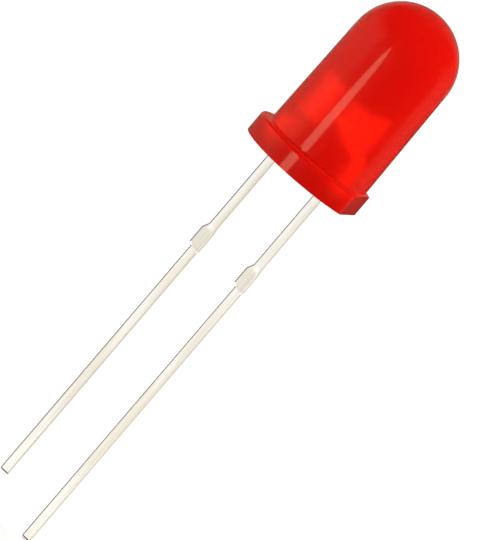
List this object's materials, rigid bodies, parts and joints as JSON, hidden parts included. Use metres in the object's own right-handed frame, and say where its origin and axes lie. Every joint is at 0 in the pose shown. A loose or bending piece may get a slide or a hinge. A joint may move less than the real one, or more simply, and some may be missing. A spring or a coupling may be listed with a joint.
{
  "type": "through hole led",
  "caption": "Round light-emitting diode with a diffused red epoxy lens, a flanged base with a flat, and straight leads for through-hole soldering.",
  "frame": {"origin": "centre of the flange's underside, on the lens axis, which is where the body seats on a board", "axes": "+Z along the lens axis towards the dome, +X towards the flat of the flange and the anvil's longer lead; both leads run down along -Z"},
  "size_m": [0.0054, 0.0058, 0.0278],
  "materials": {
    "red_epoxy": "gloss",
    "plated_steel": "satin",
    "chip": "satin",
    "silver_epoxy": "satin",
    "gold_wire": "polished"
  },
  "bodies": {
    "root": {"epoxy_body": "red_epoxy", "anvil_lead": "plated_steel", "post_lead": "plated_steel", "led_chip": "chip", "die_attach": "silver_epoxy", "bond_wire": "gold_wire"}
  },
  "joints": []
}
